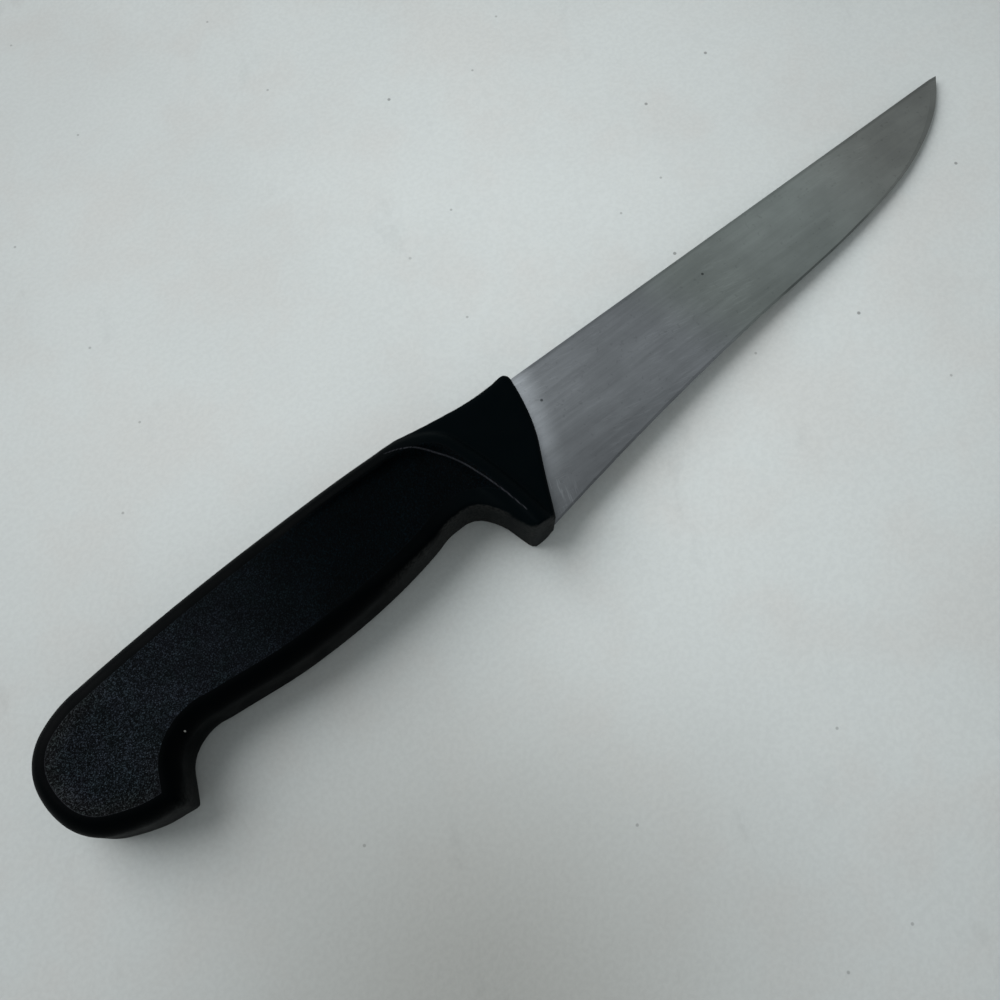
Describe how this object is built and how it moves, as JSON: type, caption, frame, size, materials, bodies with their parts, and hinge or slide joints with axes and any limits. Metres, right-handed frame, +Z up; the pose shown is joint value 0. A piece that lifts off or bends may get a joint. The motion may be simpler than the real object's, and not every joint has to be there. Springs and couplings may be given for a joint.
{
  "type": "carving knife",
  "caption": "Butcher's pattern carving knife with a straight-backed satin steel blade and a black moulded handle with a finger guard and a hooked butt.",
  "frame": {"origin": "on the table that the knife lies on, under the middle of the whole knife's box", "axes": "+X runs along the blade's back towards the tip, +Y points from the cutting edge to the back, +Z is up, square to the blade's flat side"},
  "size_m": [0.2934, 0.0397, 0.017],
  "materials": {
    "blade_steel": "satin, ground lengthwise, with fine scratches",
    "handle_gloss": "smooth black moulding with a dull gloss",
    "grip_grain": "black with a fine eroded grain"
  },
  "bodies": {
    "root": {"blade": "blade_steel", "handle_body": "handle_gloss", "grip_panel_right": "grip_grain", "grip_panel_left": "grip_grain"}
  },
  "joints": []
}
